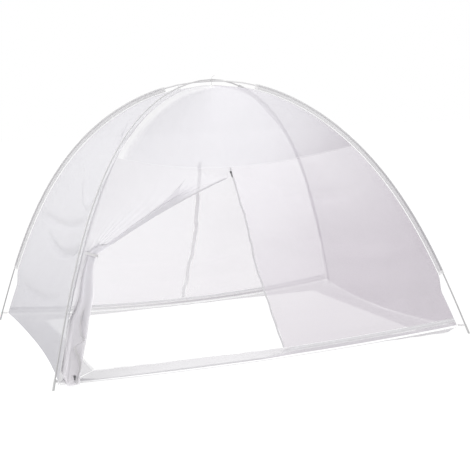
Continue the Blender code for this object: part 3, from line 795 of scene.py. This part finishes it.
class Nodes:
    """A small helper that adds and joins a material's nodes."""

    def __init__(self, name):
        self.made = bpy.data.materials.new(name)
        self.made.use_nodes = True
        self.tree = self.made.node_tree
        self.shader = self.tree.nodes["Principled BSDF"]

    def add(self, kind, inputs=None, **settings):
        node = self.tree.nodes.new(kind)
        for key, value in settings.items():
            setattr(node, key, value)
        for key, value in (inputs or {}).items():
            self.join(value, node.inputs[key])
        return node

    def join(self, value, socket):
        if isinstance(value, bpy.types.NodeSocket):
            self.tree.links.new(value, socket)
        else:
            socket.default_value = value

    def maths(self, operation, *values):
        return self.add("ShaderNodeMath", dict(enumerate(values)), operation=operation).outputs[0]

    def mix(self, share, one, other):
        node = self.add("ShaderNodeMix", {"Factor": share}, data_type="RGBA")
        self.join(one, node.inputs["A"])
        self.join(other, node.inputs["B"])
        return node.outputs["Result"]

    def noise(self, vector, scale, detail=2.0):
        inputs = {"Vector": vector, "Scale": scale, "Detail": detail}
        return self.add("ShaderNodeTexNoise", inputs).outputs["Fac"]


def hex_holes(nodes, uv):
    """1 in the middle of each hexagonal hole of the net, 0 on its threads."""
    pitch = 4.0 * math.pi / (math.sqrt(3.0) * MESH_PITCH)
    waves = []
    for turn in (0.0, 2.0 * math.pi / 3.0, 4.0 * math.pi / 3.0):
        way = (math.cos(turn) * pitch, math.sin(turn) * pitch, 0.0)
        dot = nodes.add("ShaderNodeVectorMath", {0: uv, 1: way}, operation="DOT_PRODUCT")
        waves.append(nodes.maths("COSINE", dot.outputs["Value"]))
    total = nodes.maths("ADD", nodes.maths("ADD", waves[0], waves[1]), waves[2])
    spread = {"Value": total, "From Min": -1.2, "From Max": 0.6, "To Min": 0.0, "To Max": 1.0}
    return nodes.add("ShaderNodeMapRange", spread).outputs["Result"]


def net_look(name, side, cover, colour, shaded_foot_colour, hem_cover=HEM_COVER, hem_colour=HEM_COLOUR):
    """Sheer knitted net: even small holes, a little uneven in density and tone. cover is the
    share of light that its threads stop, at the top and at the foot, and side is how much
    further down the painted shade lies for each metre to the right. The colour darkens from
    the top colour to the foot colour as painted shade, lighter high up and to the left as if
    lit from there. Hems are close and lighter, because the net is double there. The same hem
    look paints a band of highlight along the front upper panel's edge by the front-left arm."""
    nodes = Nodes(name)
    uv = nodes.add("ShaderNodeUVMap", uv_map="cloth").outputs["UV"]
    place = nodes.add("ShaderNodeTexCoord").outputs["Object"]
    holes = hex_holes(nodes, uv)
    parts = nodes.add("ShaderNodeSeparateXYZ", {"Vector": place}).outputs
    # Painted shade: the tone falls to the right and towards the foot, with a little random
    # unevenness, and the net's colour darkens with it.
    height = nodes.maths("MULTIPLY_ADD", parts["X"], -side, parts["Z"])
    tone = nodes.maths("MULTIPLY_ADD", nodes.noise(place, 1.3, 1.0), 0.3, height)
    spread = {"Value": tone, "From Min": SHADE_FOOT_HEIGHT, "From Max": SHADE_TOP_HEIGHT}
    share = nodes.add("ShaderNodeMapRange", spread, interpolation_type="SMOOTHSTEP")
    share = share.outputs["Result"]
    clouds = nodes.noise(place, 3.2, 3.0)
    stretch = {"Vector": uv, "Scale": (260.0, 5.0, 1.0)}
    yarns = nodes.noise(nodes.add("ShaderNodeMapping", stretch).outputs[0], 1.0)
    density = nodes.maths("MULTIPLY_ADD", share, cover[0] - cover[1], cover[1])
    changes = ((clouds, 0.5, CLOUDS), (yarns, 0.5, YARNS), (0.5, holes, HOLE_CONTRAST))
    for one, other, change in changes:
        density = nodes.maths("MULTIPLY_ADD", nodes.maths("SUBTRACT", one, other), change, density)
    band = nodes.add("ShaderNodeAttribute", attribute_name="band").outputs["Fac"]
    rest = nodes.maths("SUBTRACT", hem_cover, density)
    alpha = nodes.maths("MULTIPLY_ADD", rest, band, density)
    nodes.join(alpha, nodes.shader.inputs["Alpha"])
    # The colour is darker towards the foot and to the right as painted shade.
    plain = nodes.mix(share, (*shaded_foot_colour, 1.0), (*colour, 1.0))
    nodes.join(nodes.mix(band, plain, (*hem_colour, 1.0)), nodes.shader.inputs["Base Color"])
    bump = nodes.add("ShaderNodeBump", {"Height": holes, "Strength": 0.25, "Distance": 0.0003})
    nodes.join(bump.outputs["Normal"], nodes.shader.inputs["Normal"])
    nodes.shader.inputs["Roughness"].default_value = 0.75
    nodes.shader.inputs["Specular IOR Level"].default_value = 0.2
    return nodes.made


def woven_look(name, colour, rib):
    """A close woven tape or strap with cross ribs, such as a zip's tape."""
    nodes = Nodes(name)
    uv = nodes.add("ShaderNodeUVMap", uv_map="cloth").outputs["UV"]
    parts = nodes.add("ShaderNodeSeparateXYZ", {"Vector": uv})
    ribs = nodes.maths("SINE", nodes.maths("MULTIPLY", parts.outputs["Y"], 2.0 * math.pi / rib))
    warp = nodes.maths("SINE", nodes.maths("MULTIPLY", parts.outputs["X"], 2.0 * math.pi / 0.0011))
    weave = nodes.maths("MULTIPLY_ADD", warp, 0.5, ribs)
    place = nodes.add("ShaderNodeTexCoord").outputs["Object"]
    patches = nodes.noise(place, 38.0)
    tone = nodes.maths("MULTIPLY_ADD", weave, 0.08, patches)
    dark = tuple(0.88 * value for value in colour) + (1.0,)
    light = tuple(min(1.0, 1.06 * value) for value in colour) + (1.0,)
    nodes.join(nodes.mix(tone, dark, light), nodes.shader.inputs["Base Color"])
    bump = nodes.add("ShaderNodeBump", {"Height": weave, "Strength": 0.4, "Distance": 0.0003})
    nodes.join(bump.outputs["Normal"], nodes.shader.inputs["Normal"])
    nodes.shader.inputs["Roughness"].default_value = 0.7
    return nodes.made


def solid_look(name, colour, shaded_foot_colour, roughness):
    """Moulded plastic or a glass-fibre rod, with faint uneven tone and wear, and painted shade that
    darkens it towards the foot where its foot colour is darker.
    """
    nodes = Nodes(name)
    place = nodes.add("ShaderNodeTexCoord").outputs["Object"]
    tone = nodes.noise(place, 180.0, 3.0)
    # Painted shade: height, with a little grain, sets how far the colour is from the foot colour.
    height = nodes.add("ShaderNodeSeparateXYZ", {"Vector": place}).outputs["Z"]
    grain_and_shade_height = nodes.maths("MULTIPLY_ADD", nodes.maths("SUBTRACT", tone, 0.5), 0.04, height)
    spread = {"Value": grain_and_shade_height, "From Min": SHADE_FOOT_HEIGHT, "From Max": SHADE_TOP_HEIGHT}
    share = nodes.add("ShaderNodeMapRange", spread).outputs["Result"]
    paint = nodes.mix(share, (*shaded_foot_colour, 1.0), (*colour, 1.0))
    nodes.join(paint, nodes.shader.inputs["Base Color"])
    worn = {"Value": tone, "To Min": roughness - 0.06, "To Max": roughness + 0.08}
    gloss = nodes.add("ShaderNodeMapRange", worn).outputs["Result"]
    nodes.join(gloss, nodes.shader.inputs["Roughness"])
    bump = nodes.add("ShaderNodeBump", {"Height": tone, "Strength": 0.1, "Distance": 0.0003})
    nodes.join(bump.outputs["Normal"], nodes.shader.inputs["Normal"])
    return nodes.made


NET_LOOKS = {
    # cloth: (how much further down the painted shade lies for each metre to the right,
    #         share of the light that its threads stop, at the top and at the foot,
    #         colour at the top, colour at the foot, darker as painted shade, and for its hems
    #         where they differ from HEM_COVER and HEM_COLOUR: the share that they stop, and
    #         their colour). Every piece is the same white net: how light or dark each piece's
    #         colours are is painted light and shade, and only their faint tint is the net's own.
    "front_upper": (1.1, (0.46, 0.72), (0.725, 0.715, 0.755), (0.41, 0.375, 0.415)),
    "front": (0.6, (0.42, 0.62), (0.77, 0.75, 0.79), (0.52, 0.48, 0.525)),
    "back": (0.6, (0.40, 0.42), (0.77, 0.74, 0.80), (0.67, 0.62, 0.685)),
    "left": (0.3, (0.62, 0.67), (0.565, 0.56, 0.585), (0.345, 0.34, 0.37)),
    "right": (0.6, (0.60, 0.62), (0.68, 0.65, 0.685), (0.43, 0.385, 0.435)),
    "flap": (0.6, (0.46, 0.64), (0.76, 0.745, 0.78), (0.77, 0.74, 0.755)),
    "sill": (3.0, (0.66, 0.74), (0.62, 0.61, 0.63), (0.52, 0.495, 0.53)),
    "skirt": (0.0, (0.52, 0.52), (0.60, 0.585, 0.61), (0.60, 0.585, 0.61)),
    "sleeve_front": (0.0, (0.16, 0.22), (0.84, 0.835, 0.85), (0.70, 0.69, 0.70), 0.22, SLEEVE_HEM),
    "sleeve_other": (0.6, (0.40, 0.46), (0.55, 0.54, 0.555), (0.46, 0.445, 0.47), 0.6, SLEEVE_HEM),
}


def make_looks():
    looks = {cloth: net_look(f"net_{cloth}", *values) for cloth, values in NET_LOOKS.items()}
    # The four zip tapes are one white tape; the greyer copies are painted shade, darkest for the
    # open half's tape among the bunch.
    looks["tape"] = woven_look("zip_tape", (0.58, 0.57, 0.59), 0.0016)
    looks["coil_side"] = woven_look("zip_coil_side", (0.46, 0.45, 0.46), 0.0016)
    looks["low_tape"] = woven_look("low_zip_tape", (0.62, 0.61, 0.63), 0.0016)
    looks["light_tape"] = woven_look("back_zip_tape", (0.84, 0.83, 0.85), 0.0016)
    looks["strap"] = woven_look("woven_strap", (0.66, 0.65, 0.66), 0.0012)
    # The rod is darker towards its foot as painted shade.
    looks["rod"] = solid_look("glass_fibre", (0.58, 0.575, 0.58), (0.38, 0.375, 0.38), 0.35)
    looks["tip"] = solid_look("tip_plastic", (0.42, 0.42, 0.42), (0.42, 0.42, 0.42), 0.45)
    looks["slider"] = solid_look("slider_plastic", (0.10, 0.10, 0.105), (0.10, 0.10, 0.105), 0.35)
    return looks


def cad_look(name):
    """The look of a node that stays as the CAD has it, or None for cloth."""
    if name in RODS:
        return "rod"
    if name.startswith("foot_tip"):
        return "tip"
    return "slider" if name.endswith("slider") else None


def finish_cad_nodes(looks):
    for name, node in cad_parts.items():
        look = cad_look(name)
        if look:
            node.data.materials.clear()
            node.data.materials.append(looks[look])
            for face in node.data.polygons:
                face.use_smooth = True


# ---- stage, light and camera ---------------------------------------------------------------

FLOOR_SIZE = 60.0
FLOOR_DROP = 0.0005  # keeps the floor just under the skirt
FLOOR_GLOW = 0.94  # a studio's lit white floor, which shows no shadow
LIGHT_SIDE = (-0.62, -0.20, 0.76)  # where the studio's light mostly comes from
DIM_SIDE, BRIGHT_SIDE = 0.50, 1.30  # radiance of the room away from that side and on it
KEY_STRENGTH = 0.8
CAMERA_AZIMUTH, CAMERA_ELEVATION, CAMERA_ROLL = -21.243, 8.004, -1.870  # degrees
CAMERA_DISTANCE, CAMERA_LENS = 5.7315, 75.53
CAMERA_AIM = (0.1136, 0.0, 0.5287)


def make_floor():
    mesh = bpy.data.meshes.new("floor")
    half = FLOOR_SIZE / 2
    corners = [(-half, -half, 0.0), (half, -half, 0.0), (half, half, 0.0), (-half, half, 0.0)]
    mesh.from_pydata(corners, [], [(0, 1, 2, 3)])
    nodes = Nodes("floor_paint")
    place = nodes.add("ShaderNodeTexCoord").outputs["Object"]
    patches = nodes.noise(place, 2.0)
    shade = nodes.mix(patches, (0.09, 0.09, 0.09, 1.0), (0.10, 0.10, 0.10, 1.0))
    nodes.join(shade, nodes.shader.inputs["Base Color"])
    nodes.shader.inputs["Roughness"].default_value = 0.9
    nodes.shader.inputs["Specular IOR Level"].default_value = 0.0
    nodes.shader.inputs["Emission Color"].default_value = (1.0, 1.0, 1.0, 1.0)
    nodes.shader.inputs["Emission Strength"].default_value = FLOOR_GLOW
    mesh.materials.append(nodes.made)
    floor = add_object("floor", mesh)
    floor.location.z = -FLOOR_DROP


def make_room():
    """A white room that shows plain white, and is lit softly from one side and above."""
    world = bpy.data.worlds.new("studio")
    world.use_nodes = True
    tree = world.node_tree
    background = tree.nodes["Background"]
    way = tree.nodes.new("ShaderNodeTexCoord")
    facing = tree.nodes.new("ShaderNodeVectorMath")
    facing.operation = "DOT_PRODUCT"
    facing.inputs[1].default_value = LIGHT_SIDE
    tree.links.new(way.outputs["Generated"], facing.inputs[0])
    level = tree.nodes.new("ShaderNodeMapRange")
    level.interpolation_type = "SMOOTHSTEP"
    level.inputs["From Min"].default_value = -0.8
    level.inputs["From Max"].default_value = 0.9
    level.inputs["To Min"].default_value = DIM_SIDE
    level.inputs["To Max"].default_value = BRIGHT_SIDE
    tree.links.new(facing.outputs["Value"], level.inputs["Value"])
    seen = tree.nodes.new("ShaderNodeLightPath")
    strength = tree.nodes.new("ShaderNodeMix")
    strength.inputs["B"].default_value = 1.0
    tree.links.new(seen.outputs["Is Camera Ray"], strength.inputs["Factor"])
    tree.links.new(level.outputs["Result"], strength.inputs["A"])
    background.inputs["Color"].default_value = (1.0, 1.0, 1.0, 1.0)
    tree.links.new(strength.outputs["Result"], background.inputs["Strength"])
    bpy.context.scene.world = world


def make_light():
    make_room()
    sun = bpy.data.lights.new("key", "SUN")
    sun.energy = KEY_STRENGTH
    sun.angle = math.radians(35.0)
    lamp = add_object("key", sun)
    lamp.rotation_euler = Vector(LIGHT_SIDE).to_track_quat("Z", "Y").to_euler()
    bpy.context.scene.view_settings.view_transform = "Standard"


def make_camera():
    data = bpy.data.cameras.new("camera")
    data.lens = CAMERA_LENS
    data.sensor_width = 36.0
    camera = add_object("camera", data)
    azimuth, elevation = math.radians(CAMERA_AZIMUTH), math.radians(CAMERA_ELEVATION)
    level = math.cos(elevation)
    back = Vector((math.sin(azimuth) * level, -math.cos(azimuth) * level, math.sin(elevation)))
    right = Vector((0.0, 0.0, 1.0)).cross(back).normalized()
    up = back.cross(right)
    roll = math.radians(CAMERA_ROLL)
    rolled_right = right * math.cos(roll) + up * math.sin(roll)
    rolled_up = up * math.cos(roll) - right * math.sin(roll)
    turn = Matrix((rolled_right, rolled_up, back)).transposed()
    camera.matrix_world = Matrix.LocRotScale(
        Vector(CAMERA_AIM) + back * CAMERA_DISTANCE, turn.to_quaternion(), None
    )
    bpy.context.scene.camera = camera


def main():
    make_camera()
    looks = make_looks()
    make_peak_tie(looks["strap"])
    make_panels(looks)
    make_sills(looks)
    make_zips(looks)
    make_flap(looks["flap"])
    make_flap_tape(looks["coil_side"])
    make_tie_band(looks["strap"])
    for corner in CORNERS:
        make_sleeve(corner, looks["sleeve_front" if corner == "front_left" else "sleeve_other"])
        make_corner_strap(corner, looks["strap"])
    for wall in WALLS:
        make_skirt(wall, looks["skirt"])
    finish_cad_nodes(looks)
    make_floor()
    make_light()


main()
